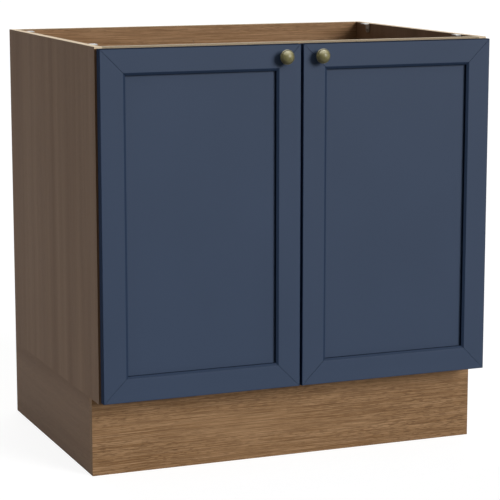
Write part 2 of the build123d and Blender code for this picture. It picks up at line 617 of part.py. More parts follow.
# Hardware of the carcass
nodes["shelf_pins"] = group(shelf_pins)
nodes["worktop_brackets"] = group(worktop_brackets)
nodes["worktop_bracket_screws"] = group(worktop_screws)
nodes["plinth_brackets"] = group(plinth_brackets)
nodes["plinth_bracket_screws"] = group(plinth_screws)
nodes["cam_locks"] = group(cam_locks)
nodes["cam_bolts"] = group(cam_bolts)
nodes["dowels"] = group(dowels)
nodes["back_panel_nails"] = group(back_nails)
left_hinges = {
    "left_hinge_plates": hinge_plates,
    "left_hinge_arms": hinge_arms,
    "left_plate_screws": plate_screws,
    "left_arm_screws": arm_screws,
}

# The right hinges and the right door are the left ones mirrored.
for name, solids in (left_hinges | left_door).items():
    nodes[name] = group(solids)
    nodes[name.replace("left", "right")] = group(mirrored(solid) for solid in solids)

os.makedirs("parts", exist_ok=True)
for name, shape in nodes.items():
    export_step(shape, f"parts/{name}.step")
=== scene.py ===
"""Looks of a kitchen base cabinet: oak-effect boards, navy lacquered doors, brass knobs and zinc hardware."""

import logging
import math
from dataclasses import dataclass, fields, replace
from enum import Enum
from typing import NamedTuple

import bmesh
import bpy
from mathutils import Matrix, Vector


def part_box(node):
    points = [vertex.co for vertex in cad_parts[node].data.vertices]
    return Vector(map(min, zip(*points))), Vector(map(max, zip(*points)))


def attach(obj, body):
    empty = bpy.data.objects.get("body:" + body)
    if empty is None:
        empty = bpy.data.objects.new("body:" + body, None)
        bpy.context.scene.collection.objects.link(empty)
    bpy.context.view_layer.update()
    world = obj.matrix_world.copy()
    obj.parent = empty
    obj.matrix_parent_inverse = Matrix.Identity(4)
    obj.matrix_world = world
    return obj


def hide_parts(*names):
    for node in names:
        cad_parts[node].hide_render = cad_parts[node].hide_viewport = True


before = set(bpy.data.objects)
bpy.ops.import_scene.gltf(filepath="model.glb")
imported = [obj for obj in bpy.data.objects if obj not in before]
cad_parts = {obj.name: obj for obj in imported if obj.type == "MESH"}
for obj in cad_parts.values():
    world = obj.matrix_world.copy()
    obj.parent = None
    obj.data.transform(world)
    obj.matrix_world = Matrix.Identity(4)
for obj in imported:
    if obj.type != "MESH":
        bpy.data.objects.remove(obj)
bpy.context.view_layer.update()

log = logging.getLogger("cabinet")
Colour = tuple[float, float, float, float]
Triple = tuple[float, float, float]
Span = tuple[float, float]
Socket = bpy.types.NodeSocket
MM = 0.001
WHITE: Colour = (1.0, 1.0, 1.0, 1.0)

# The middle of a noise's factors, and the span that most of them lie in
NOISE_MIDDLE = 0.5
NOISE_BULK: Span = (0.3, 0.7)

# Tolerances for joining up points, in metres, and for flat faces and creases, and the pull of flat faces
CAD_WELD = 2e-6
SEAM_WELD = 1e-6
FLAT_ANGLE = math.radians(0.6)
CREASE_ANGLE = math.radians(40.0)
FLAT_PULL = 100


@dataclass(frozen=True)
class Pattern:
    """A noise pattern: its features to a metre along X, Y and Z, its finer layers and where it starts."""

    scale: Triple
    detail: float = 2.0
    start: Triple = (0.0, 0.0, 0.0)


class Grain(Enum):
    """The way that the printed oak runs on a board."""

    ACROSS = 0
    DEEP = 1
    UPRIGHT = 2

    def turned(self, pattern: Pattern) -> Pattern:
        """A pattern that is written for a grain along X, turned to run along this grain."""
        along, across, _ = pattern.scale
        return replace(pattern, scale=tuple(along if axis == self.value else across for axis in range(3)))


class Body(Enum):
    """The moving bodies of the cabinet."""

    CARCASS = "carcass"
    LEFT_DOOR = "left_door"
    RIGHT_DOOR = "right_door"


class Slot(Enum):
    """The record's material slots."""

    LACQUER = "door_lacquer"
    BRASS = "antique_brass"
    STEEL = "zinc_steel"


def shaded(colour: Colour, share: float) -> Colour:
    """A darker tone of a colour, with a share of its light."""
    return tuple(channel * share for channel in colour)


def grey(level: float) -> Colour:
    """A plain grey of a given level."""
    return (level, level, level, 1.0)


class NodeSheet:
    """A node tree that is being drawn up."""

    def __init__(self, tree: bpy.types.NodeTree) -> None:
        """Starts on an emptied tree."""
        self.tree = tree
        tree.nodes.clear()

    def add(self, kind: str, values: dict | None = None, **settings: object) -> bpy.types.Node:
        """Adds one node.

        Args:
            kind: the node's type.
            values: what goes into its sockets, by name or number: a value, or a socket to join.
            settings: its other properties.

        Returns:
            The new node.
        """
        node = self.tree.nodes.new(kind)
        for name, value in settings.items():
            setattr(node, name, value)
        for key, value in (values or {}).items():
            if isinstance(value, Socket):
                self.tree.links.new(value, node.inputs[key])
            else:
                node.inputs[key].default_value = value
        return node

    def maths(self, operation: str, first: object, second: object) -> Socket:
        """Adds a Math node for two numbers or sockets, and gives its result."""
        return self.add("ShaderNodeMath", {0: first, 1: second}, operation=operation).outputs[0]

    def noise(self, place: Socket, pattern: Pattern) -> Socket:
        """Adds a stretched noise.

        Args:
            place: the coordinates.
            pattern: what it looks like.

        Returns:
            The noise's factor, which is 0.5 on average.
        """
        mapping = {"Vector": place, "Scale": pattern.scale, "Location": pattern.start}
        mapped = self.add("ShaderNodeMapping", mapping).outputs[0]
        values = {"Vector": mapped, "Scale": 1.0, "Detail": pattern.detail}
        return self.add("ShaderNodeTexNoise", values).outputs[0]

    def fit(self, value: Socket, span: Span, to: Span = (0.0, 1.0)) -> Socket:
        """Adds a Map Range node, and gives the factor that it maps from one span to another."""
        ends = {"Value": value, "From Min": span[0], "From Max": span[1], "To Min": to[0], "To Max": to[1]}
        return self.add("ShaderNodeMapRange", ends).outputs[0]

    def between(self, share: object, first: object, second: object) -> Socket:
        """Adds a mix of two numbers with a share of the second one, and gives its result."""
        return self.add("ShaderNodeMix", {0: share, 2: first, 3: second}).outputs[0]

    def blend(self, share: object, first: object, second: object) -> Socket:
        """Adds a mix of two colours with a share of the second one, and gives its result."""
        return self.add("ShaderNodeMix", {0: share, 6: first, 7: second}, data_type="RGBA").outputs[2]

    def bump(self, height: Socket, strength: float, depth: float) -> Socket:
        """Adds a bump from a relief of 0 to 1 and its depth in metres, and gives the bumped normal."""
        values = {"Height": height, "Strength": strength, "Distance": depth}
        return self.add("ShaderNodeBump", values).outputs[0]

    def vector(self, first: object, second: object, third: object) -> Socket:
        """Adds a vector of three numbers or sockets, and gives its result."""
        return self.add("ShaderNodeCombineXYZ", {0: first, 1: second, 2: third}).outputs[0]


@dataclass(frozen=True)
class Finish:
    """A finish that draws up one node material."""

    name: str

    def material(self) -> bpy.types.Material:
        """The finish's material, drawn up the first time it is asked for."""
        made = bpy.data.materials.get(self.name)
        if made is None:
            made = bpy.data.materials.new(self.name)
            made.use_nodes = True
            sheet = NodeSheet(made.node_tree)
            place = sheet.add("ShaderNodeTexCoord").outputs["Object"]
            shader = sheet.add("ShaderNodeBsdfPrincipled", self.sockets(sheet, place))
            sheet.add("ShaderNodeOutputMaterial", {0: shader.outputs[0]})
        return made

    def sockets(self, sheet: NodeSheet, place: Socket) -> dict[str, object]:
        """What the finish puts into the shader's sockets.

        Args:
            sheet: the material's node sheet.
            place: the Object coordinates.

        Returns:
            A value or a socket for each of the shader's inputs that it sets.
        """
        raise NotImplementedError


@dataclass(frozen=True)
class OakEffect(Finish):
    """Board with printed brown oak on its faces and, where asked for, bare core on a cut edge or at the back.

    The patterns of the grain are written for a grain along X.
    """

    grain: Grain
    figure: float = 1.0
    fineness: float = 1.0
    bare_above: float | None = None
    lip: Span | None = None
    bare_behind: float | None = None
    core: Colour = (0.72, 0.57, 0.39, 1.0)
    rear: Colour = (0.30, 0.19, 0.105, 1.0)
    pale: Colour = (0.330, 0.201, 0.105, 1.0)
    deep: Colour = (0.180, 0.094, 0.038, 1.0)
    pore: Colour = (0.078, 0.036, 0.013, 1.0)
    sway: Pattern = Pattern((1.6, 6.0, 6.0), 1.0)
    sway_reach: float = 4.0 * MM
    bands: Pattern = Pattern((0.8, 26.0, 26.0), 2.0, (5.7, 2.2, 0.7))
    streaks: Pattern = Pattern((8.0, 900.0, 900.0), 2.0, (3.1, 1.7, 5.3))
    fibres: Pattern = Pattern((20.0, 1800.0, 1800.0), 2.0, (0.4, 7.9, 2.6))
    veins: Pattern = Pattern((9.0, 760.0, 760.0), 1.0, (2.9, 9.3, 6.1))
    dashes: Pattern = Pattern((58.0, 700.0, 700.0), 1.0, (8.2, 4.4, 0.9))
    patches: Pattern = Pattern((2.4, 18.0, 18.0), 1.0, (4.3, 6.8, 2.1))
    fibre_share: float = 0.34
    fine_share: float = 0.84
    tone_spread: float = 0.095
    dash_span: Span = (0.53, 0.60)
    patch_span: Span = (0.20, 0.62)
    vein_span: Span = (0.56, 0.60)
    vein_share: float = 0.66
    pore_share: float = 0.62
    chips: Pattern = Pattern((900.0, 900.0, 900.0), 3.0)
    chip_span: Span = (0.35, 0.65)
    chip_shade: float = 0.78
    felt: Pattern = Pattern((260.0, 260.0, 420.0), 4.0)
    felt_shade: float = 0.72
    roughness: Span = (0.60, 0.52)
    gloss: float = 0.12
    fibre_relief: float = 0.4
    relief_share: float = 0.35
    relief_depth: float = 0.25 * MM

    def sockets(self, sheet: NodeSheet, place: Socket) -> dict[str, object]:
        """Bands, streaks, fibres and pores that run along the grain, and the bare core."""
        sway = sheet.noise(place, self.grain.turned(self.sway))
        drift = sheet.fit(sway, (0.0, 1.0), (-self.sway_reach, self.sway_reach))
        wavy = sheet.add("ShaderNodeVectorMath", {0: place, 1: drift}, operation="ADD").outputs[0]
        bands, streaks, fibres, veins, dashes = [
            sheet.noise(wavy, self.grain.turned(pattern))
            for pattern in (self.bands, self.streaks, self.fibres, self.veins, self.dashes)
        ]
        patches = sheet.noise(place, self.grain.turned(self.patches))
        fine = sheet.between(self.fibre_share, streaks, fibres)
        mixed = sheet.between(self.fine_share * self.fineness, bands, fine)
        spread = self.tone_spread / self.figure
        tone = sheet.fit(mixed, (NOISE_MIDDLE - spread, NOISE_MIDDLE + spread))
        patchy = sheet.fit(patches, self.patch_span)
        broken = sheet.maths("MULTIPLY", sheet.fit(dashes, self.dash_span), patchy)
        pores = sheet.maths("MAXIMUM", broken, sheet.fit(veins, self.vein_span, (0.0, self.vein_share)))
        colour = sheet.blend(tone, self.deep, self.pale)
        colour = sheet.blend(sheet.maths("MULTIPLY", pores, self.pore_share * self.figure), colour, self.pore)
        colour = self.with_bare_parts(sheet, place, colour)
        relief = sheet.maths("SUBTRACT", sheet.maths("MULTIPLY", fibres, self.fibre_relief), pores)
        return {
            "Base Color": colour,
            "Roughness": sheet.fit(tone, (0.0, 1.0), self.roughness),
            "Specular IOR Level": self.gloss,
            "Normal": sheet.bump(relief, self.relief_share, self.relief_depth),
        }

    def with_bare_parts(self, sheet: NodeSheet, place: Socket, colour: Socket) -> Socket:
        """Lays bare board on the sawn top edge, the front lip and the rear face, where they are asked for.

        Args:
            sheet: the material's node sheet.
            place: the Object coordinates.
            colour: the printed oak.

        Returns:
            The colour with the bare board on it.
        """
        _, depth, height = sheet.add("ShaderNodeSeparateXYZ", {0: place}).outputs
        if self.bare_above is not None:
            bare = sheet.maths("GREATER_THAN", height, self.bare_above)
            if self.lip is not None:
                high = sheet.maths("GREATER_THAN", height, self.lip[0])
                ahead = sheet.maths("LESS_THAN", depth, self.lip[1])
                bare = sheet.maths("MAXIMUM", bare, sheet.maths("MULTIPLY", high, ahead))
            chips = sheet.fit(sheet.noise(place, self.chips), self.chip_span)
            sawn = sheet.blend(chips, self.core, shaded(self.core, self.chip_shade))
            colour = sheet.blend(bare, colour, sawn)
        if self.bare_behind is not None:
            bare = sheet.maths("GREATER_THAN", depth, self.bare_behind)
            felt = sheet.fit(sheet.noise(place, self.felt), NOISE_BULK)
            pressed = sheet.blend(felt, self.rear, shaded(self.rear, self.felt_shade))
            colour = sheet.blend(bare, colour, pressed)
        return colour


@dataclass(frozen=True)
class Lacquer(Finish):
    """Satin navy lacquer with a faint spray texture."""

    base: Colour = (0.0230, 0.0404, 0.0790, 1.0)
    lean: Colour = (0.0252, 0.0436, 0.0848, 1.0)
    gloss: float = 0.30
    roughness: Span = (0.56, 0.60)
    drift: Pattern = Pattern((5.0, 5.0, 4.0))
    peel: Pattern = Pattern((620.0, 620.0, 620.0))
    peel_share: float = 0.08
    peel_depth: float = 0.12 * MM

    def sockets(self, sheet: NodeSheet, place: Socket) -> dict[str, object]:
        """A broad drift of tone, a fine orange peel and a roughness that follows it."""
        drift = sheet.fit(sheet.noise(place, self.drift), NOISE_BULK)
        peel = sheet.noise(place, self.peel)
        return {
            "Base Color": sheet.blend(drift, self.base, self.lean),
            "Roughness": sheet.fit(peel, NOISE_BULK, self.roughness),
            "Specular IOR Level": self.gloss,
            "Normal": sheet.bump(peel, self.peel_share, self.peel_depth),
        }


@dataclass(frozen=True)
class AgedBrass(Finish):
    """Lacquered antique brass that is brighter where a hand rubs it and darker in its hollows."""

    worn: Colour = (0.262, 0.238, 0.108, 1.0)
    aged: Colour = (0.210, 0.189, 0.072, 1.0)
    hollow: Colour = (0.115, 0.101, 0.034, 1.0)
    clouds: Pattern = Pattern((150.0, 150.0, 150.0), 4.0)
    cloud_span: Span = (0.32, 0.68)
    scuffs: Pattern = Pattern((900.0, 300.0, 900.0), 3.0)
    scuff_share: float = 0.12
    scuff_depth: float = 0.1 * MM
    metal: float = 0.7
    roughness: Span = (0.86, 0.94)
    coat_roughness: float = 0.38

    def sockets(self, sheet: NodeSheet, place: Socket) -> dict[str, object]:
        """Cloudy patina, fine turning scratches and the dark of the groove and neck."""
        clouds = sheet.fit(sheet.noise(place, self.clouds), self.cloud_span)
        scuffs = sheet.noise(place, self.scuffs)
        depth = sheet.add("ShaderNodeAttribute", attribute_name="patina").outputs["Fac"]
        return {
            "Base Color": sheet.blend(depth, sheet.blend(clouds, self.aged, self.worn), self.hollow),
            "Metallic": self.metal,
            "Roughness": sheet.fit(scuffs, NOISE_BULK, self.roughness),
            "Coat Weight": 1.0,
            "Coat Roughness": self.coat_roughness,
            "Normal": sheet.bump(scuffs, self.scuff_share, self.scuff_depth),
        }


@dataclass(frozen=True)
class PlatedSteel(Finish):
    """Zinc or nickel plated steel."""

    bright: Colour
    dull: Colour
    shine: Span
    spangle: Pattern = Pattern((210.0, 210.0, 210.0), 3.0)
    spangle_span: Span = (0.34, 0.66)
    marks: Pattern = Pattern((1300.0, 1300.0, 260.0), 3.0)
    mark_share: float = 0.10
    mark_depth: float = 0.08 * MM

    def sockets(self, sheet: NodeSheet, place: Socket) -> dict[str, object]:
        """Soft spangles of the plating and fine handling marks."""
        spangle = sheet.fit(sheet.noise(place, self.spangle), self.spangle_span)
        marks = sheet.noise(place, self.marks)
        return {
            "Base Color": sheet.blend(spangle, self.dull, self.bright),
            "Metallic": 1.0,
            "Roughness": sheet.fit(marks, NOISE_BULK, self.shine),
            "Normal": sheet.bump(marks, self.mark_share, self.mark_depth),
        }


@dataclass(frozen=True)
class BeechDowel(Finish):
    """Pale turned beech with short flecks."""

    pale: Colour = (0.60, 0.42, 0.25, 1.0)
    fleck: Colour = (0.36, 0.22, 0.11, 1.0)
    fibres: Pattern = Pattern((180.0, 700.0, 700.0), 3.0)
    fibre_span: Span = (0.2, 0.8)
    fibre_shade: float = 0.85
    fibre_share: float = 0.25
    fibre_depth: float = 0.2 * MM
    flecks: Pattern = Pattern((330.0, 1500.0, 1500.0), 1.0)
    fleck_span: Span = (0.58, 0.70)
    roughness: Span = (0.62, 0.74)

    def sockets(self, sheet: NodeSheet, place: Socket) -> dict[str, object]:
        """Fine fibres and flecks."""
        fibres = sheet.noise(place, self.fibres)
        flecks = sheet.fit(sheet.noise(place, self.flecks), self.fleck_span)
        shade = shaded(self.pale, self.fibre_shade)
        tone = sheet.blend(sheet.fit(fibres, self.fibre_span), shade, self.pale)
        return {
            "Base Color": sheet.blend(flecks, tone, self.fleck),
            "Roughness": sheet.fit(fibres, self.fibre_span, self.roughness),
            "Normal": sheet.bump(fibres, self.fibre_share, self.fibre_depth),
        }


@dataclass(frozen=True)
class ClearRubber(Finish):
    """Milky soft plastic of the door bumpers."""

    milk: Colour = (0.62, 0.62, 0.58, 1.0)
    cloud: Pattern = Pattern((240.0, 240.0, 240.0))
    cloud_shade: float = 0.9
    roughness: Span = (0.30, 0.40)
    clearness: float = 0.35

    def sockets(self, sheet: NodeSheet, place: Socket) -> dict[str, object]:
        """A faint cloud in the milky plastic."""
        cloud = sheet.noise(place, self.cloud)
        shade = shaded(self.milk, self.cloud_shade)
        return {
            "Base Color": sheet.blend(sheet.fit(cloud, NOISE_BULK), shade, self.milk),
            "Roughness": sheet.fit(cloud, NOISE_BULK, self.roughness),
            "Transmission Weight": self.clearness,
        }


# Where the boards' finishes change: above SAWN, above and ahead of LIP, and behind REAR
TOP = 813.0 * MM
SAWN = TOP - 0.4 * MM
LIP: Span = (TOP - 3.2 * MM, -266.5 * MM)
REAR = 312.6 * MM

# Painted shade: the side boards and the plinth's sides take a greyer, darker and flatter tone of the same
# printed oak
SIDE_OAK_PAINTED_SHADE = {
    "figure": 0.32,
    "fineness": 0.42,
    "pale": (0.268, 0.162, 0.095, 1.0),
    "deep": (0.145, 0.0755, 0.0355, 1.0),
}
# Painted shade on the side boards, from the tone above
UPRIGHT_OAK_PAINTED_SHADE = OakEffect("oak_effect_upright_painted_shade", Grain.UPRIGHT, bare_above=SAWN, lip=LIP, **SIDE_OAK_PAINTED_SHADE)
# Painted light: the back rail takes a slightly lighter tone of the printed oak than the other boards
RAIL_OAK_PAINTED_LIGHT = OakEffect(
    "oak_effect_back_rail_painted_light", Grain.ACROSS, figure=0.85, bare_above=SAWN, core=(0.52, 0.42, 0.28, 1.0),
    pale=(0.345, 0.205, 0.108, 1.0), deep=(0.190, 0.098, 0.041, 1.0))
LIPPED_OAK = OakEffect(
    "oak_effect_front_rail", Grain.ACROSS, bare_above=SAWN, lip=LIP, core=(0.37, 0.29, 0.19, 1.0))
LEVEL_OAK = OakEffect("oak_effect_level", Grain.ACROSS)
# Painted shade on the plinth's sides, from the tone above
DEEP_OAK_PAINTED_SHADE = OakEffect("oak_effect_deep_painted_shade", Grain.DEEP, **SIDE_OAK_PAINTED_SHADE)
BACK_OAK = OakEffect("oak_effect_back", Grain.ACROSS, bare_behind=REAR)
NAVY = Lacquer("navy_lacquer")
# Painted shade: the bevels round the panels take a darker, duller copy of the navy lacquer
NAVY_BEVEL_PAINTED_SHADE = Lacquer(
    "navy_bevel_painted_shade_lacquer", (0.0160, 0.0285, 0.0570, 1.0), (0.0175, 0.0307, 0.0615, 1.0), gloss=0.10)
# Partly painted shade: the doors' outer edges take a duller and slightly darker copy of the navy lacquer
NAVY_EDGE_PAINTED_SHADE = Lacquer(
    "navy_edge_painted_shade_lacquer", (0.0185, 0.0320, 0.0680, 1.0), (0.0200, 0.0345, 0.0730, 1.0), gloss=0.04,
    roughness=(0.70, 0.76))
# Painted shadow: the top rail's outer edge and the step from each bevel down to the panel take a near-black
# copy of the navy lacquer
NAVY_PAINTED_SHADOW_LINE = Lacquer(
    "navy_shadow_line_painted_shade_lacquer", (0.0030, 0.0070, 0.0160, 1.0), (0.0036, 0.0082, 0.0184, 1.0), gloss=0.02,
    roughness=(0.74, 0.80))
BRASS = AgedBrass("aged_brass")
ZINC = PlatedSteel("zinc_plate", (0.37, 0.37, 0.365, 1.0), (0.28, 0.28, 0.28, 1.0), (0.32, 0.46))
NICKEL = PlatedSteel("nickel_plate", (0.72, 0.70, 0.66, 1.0), (0.60, 0.58, 0.55, 1.0), (0.18, 0.30))
BEECH = BeechDowel("beech_dowel")
MILKY = ClearRubber("milky_rubber")


def dress(node: str, finish: Finish) -> None:
    """Gives a CAD node its finish.

    Args:
        node: the node's name.
        finish: the finish for all of its faces.
    """
    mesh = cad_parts[node].data
    mesh.materials.clear()
    mesh.materials.append(finish.material())
    log.info("%s: %s", node, finish.name)


def merged(node: str) -> bmesh.types.BMesh:
    """A joined-up copy of a CAD node's mesh, with its flat faces whole.

    Args:
        node: the node's name.

    Returns:
        The copy, which the caller frees.
    """
    copy = bmesh.new()
    copy.from_mesh(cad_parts[node].data)
    bmesh.ops.remove_doubles(copy, verts=copy.verts, dist=CAD_WELD)
    bmesh.ops.dissolve_limit(copy, angle_limit=FLAT_ANGLE, verts=copy.verts, edges=copy.edges)
    return copy


def evaluated(piece: bpy.types.Object) -> bpy.types.Mesh:
    """A plain mesh of an object with its modifiers worked out."""
    bpy.context.view_layer.update()
    return bpy.data.meshes.new_from_object(piece.evaluated_get(bpy.context.evaluated_depsgraph_get()))


def placed(name: str, data: bpy.types.ID) -> bpy.types.Object:
    """A new object in the scene.

    Args:
        name: the object's name.
        data: its mesh, lamp or camera.

    Returns:
        The object, at the origin.
    """
    item = bpy.data.objects.new(name, data)
    bpy.context.scene.collection.objects.link(item)
    return item


def finished(mesh: bpy.types.Mesh, name: str, body: Body, slot: Slot, *nodes: str) -> None:
    """Sets a finished mesh in the cabinet.

    Args:
        mesh: the mesh, with its place and material in it.
        name: the piece's name.
        body: the body that it rides on.
        slot: not used.
        nodes: the CAD nodes that it stands for.
    """
    mesh.shade_smooth()
    mesh.set_sharp_from_angle(angle=CREASE_ANGLE)
    piece = placed(name, mesh)
    weighted = piece.modifiers.new("flat_faces", "WEIGHTED_NORMAL")
    weighted.keep_sharp = True
    weighted.weight = FLAT_PULL
    piece.data = evaluated(piece)
    piece.modifiers.remove(weighted)
    piece.data.name = name
    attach(piece, body.value)
    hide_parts(*nodes)
    log.info("%s: %d faces", name, len(piece.data.polygons))


def mesh_of(shape: bmesh.types.BMesh, *finishes: Finish) -> bpy.types.Mesh:
    """Turns a drawn shape into a mesh with its finishes.

    Args:
        shape: the shape, which is freed.
        finishes: the finishes, in the order of its faces' material numbers.

    Returns:
        The mesh.
    """
    mesh = bpy.data.meshes.new("shape")
    shape.to_mesh(mesh)
    shape.free()
    for finish in finishes:
        mesh.materials.append(finish.material())
    return mesh


@dataclass
class Carcass:
    """The boards of the cabinet and the plinth below it."""

    upright: tuple[str, ...] = ("left_side_panel", "right_side_panel")
    front_rail: tuple[str, ...] = ("front_top_rail",)
    back_rail: tuple[str, ...] = ("back_top_rail",)
    level: tuple[str, ...] = ("bottom_panel", "shelf", "plinth_front", "plinth_back")
    deep: tuple[str, ...] = ("left_plinth_side", "right_plinth_side")
    back: tuple[str, ...] = ("back_panel",)
    dowels: tuple[str, ...] = ("dowels", "left_door_corner_dowels", "right_door_corner_dowels")

    def build(self) -> None:
        """Dresses each board with the grain that it has on the cabinet."""
        for names, finish in (
            (self.upright, UPRIGHT_OAK_PAINTED_SHADE),
            (self.front_rail, LIPPED_OAK),
            (self.back_rail, RAIL_OAK_PAINTED_LIGHT),
            (self.level, LEVEL_OAK),
            (self.deep, DEEP_OAK_PAINTED_SHADE),
            (self.back, BACK_OAK),
            (self.dowels, BEECH),
        ):
            for name in names:
                dress(name, finish)


class SectionPoint(NamedTuple):
    """A point of a frame member's section: its distance from the door's edge, its depth and its side."""

    across: float
    depth: float
    front: bool


class Coat(Enum):
    """The lacquers of a frame member, as the numbers of its materials; the edge, bevel and step ones are
    darker, as painted shade.
    """

    FACE = 0
    EDGE = 1
    BEVEL = 2
    STEP = 3


@dataclass
class Door:
    """A door: a mitred and bevelled frame round a flat panel, with its bumpers. Sizes are in millimetres."""

    body: Body
    thickness: float = 18.0
    flat: float = 44.0
    bevel: float = 5.0
    bevel_depth: float = 2.7
    recess: float = 8.0
    panel: float = 6.0
    panel_groove: float = 6.0
    front_round: float = 1.0
    back_round: float = 1.5
    arris: float = 0.5
    round_steps: int = 4
    mitre_groove: float = 0.5
    hair: float = 1e-4
    cup_radius: float = 17.5
    cup_depth: float = 12.5
    cup_inset: float = 20.5
    cup_end: float = 100.0
    cup_facets: int = 64

    def build(self) -> None:
        """Makes the frame members and dresses the rest."""
        hand = self.body.value
        dress(f"{hand}_panel", NAVY)
        dress(f"{hand}_bumpers", MILKY)
        for member in ("hinge_stile", "meeting_stile", "top_rail", "bottom_rail"):
            self.frame_member(f"{hand}_{member}", member == "hinge_stile")

    def section(self) -> list[SectionPoint]:
        """The points of a frame member's section in order, with its corners rounded."""
        inner = self.flat + self.bevel
        groove = inner - self.panel_groove
        corners = [
            (0.0, 0.0, self.front_round, True),
            (self.flat, 0.0, self.arris, True),
            (inner, self.bevel_depth, self.arris, True),
            (inner, self.recess, 0.0, False),
            (groove, self.recess, 0.0, False),
            (groove, self.recess + self.panel, 0.0, False),
            (inner, self.recess + self.panel, 0.0, False),
            (inner, self.thickness, self.arris, False),
            (0.0, self.thickness, self.back_round, False),
        ]
        points = []
        for index, (across, depth, reach, front) in enumerate(corners):
            corner = Vector((across, depth))
            if not reach:
                points.append(SectionPoint(across, depth, front))
                continue
            before = (Vector(corners[index - 1][:2]) - corner).normalized() * reach
            after = (Vector(corners[(index + 1) % len(corners)][:2]) - corner).normalized() * reach
            for step in range(self.round_steps + 1):
                share = step / self.round_steps
                point = corner + before * (1 - share) ** 2 + after * share**2
                points.append(SectionPoint(point.x, point.y, front))
        return points

    def coat(self, first: SectionPoint, second: SectionPoint) -> Coat:
        """Tells the lacquer of the face between two points of the section.

        Args:
            first: the face's first point.
            second: its second point.

        Returns:
            The outer edge's, the step's from the bevel down to the panel, the bevel's, or else the face's;
            the first three are darker lacquers, as painted shade.
        """
        nearest, furthest = sorted((first.across, second.across))
        # The outer edge takes a duller, darker lacquer: painted shade
        if furthest <= self.back_round:
            return Coat.EDGE
        # The step down to the panel takes the near-black lacquer: a painted shadow line round the panel
        if nearest >= self.flat + self.bevel - self.hair and max(first.depth, second.depth) <= self.recess:
            return Coat.STEP
        # The bevel takes the darker bevel lacquer: painted shade
        if first.front and second.front and nearest >= self.flat:
            return Coat.BEVEL
        return Coat.FACE

    def frame_member(self, node: str, holds_cups: bool) -> None:
        """Sweeps the section along a frame member, with half of a fine groove at each mitre.

        Args:
            node: the CAD node that it stands for.
            holds_cups: whether the hinge cups are let into its back.
        """
        low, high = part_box(node)
        panel_low, panel_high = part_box(f"{self.body.value}_panel")
        along = 2 if high.z - low.z > high.x - low.x else 0
        across = 2 - along
        inwards = 1.0 if low[across] + high[across] < panel_low[across] + panel_high[across] else -1.0
        edge = low[across] if inwards > 0 else high[across]
        length = (high[along] - low[along]) / MM
        shape = bmesh.new()
        section = self.section()
        rings: list[list[bmesh.types.BMVert]] = []
        for at_start, at_mitre in ((True, True), (True, False), (False, False), (False, True)):
            ring = []
            for width, depth, front in section:
                step = 0.0 if at_mitre or not front else self.mitre_groove
                sunk = self.mitre_groove if at_mitre and front else 0.0
                run = width + step if at_start else length - width - step
                place = Vector((0.0, low.y + (depth + sunk) * MM, 0.0))
                place[across] = edge + inwards * width * MM
                place[along] = low[along] + run * MM
                ring.append(shape.verts.new(place))
            rings.append(ring)
        count = len(section)
        for first, second in zip(rings, rings[1:]):
            for step in range(count):
                after = (step + 1) % count
                face = shape.faces.new((first[step], first[after], second[after], second[step]))
                face.material_index = self.coat(section[step], section[after]).value
        shape.faces.new(rings[0])
        shape.faces.new(rings[-1])
        bmesh.ops.remove_doubles(shape, verts=shape.verts, dist=SEAM_WELD)
        bmesh.ops.recalc_face_normals(shape, faces=shape.faces)
        # Darker lacquers for edge, bevel and step are painted shade; the top rail's edge is near black, a
        # painted shadow line under the carcass's top
        painted_shade_edge_coat = NAVY_PAINTED_SHADOW_LINE if node.endswith("top_rail") else NAVY_EDGE_PAINTED_SHADE
        mesh = mesh_of(shape, NAVY, painted_shade_edge_coat, NAVY_BEVEL_PAINTED_SHADE, NAVY_PAINTED_SHADOW_LINE)
        if holds_cups:
            mesh = self.with_cup_holes(mesh, edge + inwards * self.cup_inset * MM, low, high)
        finished(mesh, f"{node}_moulding", self.body, Slot.LACQUER, node)

    def with_cup_holes(
        self, mesh: bpy.types.Mesh, across: float, low: Vector, high: Vector
    ) -> bpy.types.Mesh:
        """Bores the holes for the hinge cups into the back of a stile.

        Args:
            mesh: the stile.
            across: where the holes' axes are along X.
            low: the stile's lowest corner.
            high: its highest corner.

        Returns:
            The bored stile.
        """
        radius, end = self.cup_radius * MM, self.cup_end * MM
        cutter = bmesh.new()
        for level in (low.z + end, high.z - end):
            middle = Vector((across, high.y, level))
            turn = Matrix.Translation(middle) @ Matrix.Rotation(math.radians(90.0), 4, "X")
            bmesh.ops.create_cone(cutter, cap_ends=True, segments=self.cup_facets, radius1=radius,
                                  radius2=radius, depth=2 * self.cup_depth * MM, matrix=turn)
        bit = placed("cup_bit", mesh_of(cutter, NAVY))
        stile = placed("bored_stile", mesh)
        bore = stile.modifiers.new("bore", "BOOLEAN")
        bore.operation, bore.solver, bore.object = "DIFFERENCE", "EXACT", bit
        bored = evaluated(stile)
        for item in (bit, stile):
            bpy.data.objects.remove(item)
        return bored


@dataclass(frozen=True)
class Patina:
    """How dark the brass of a knob is, from 0 where a hand rubs it to 1 in its hollows."""

    back: float = 1.0
    foot_back: float = 0.8
    foot_edge: float = 0.4
    foot: float = 0.35
    neck: float = 0.75
    shoulder: float = 0.25
    rim: float = 0.60
    lip: float = 0.3
    groove: float = 1.0


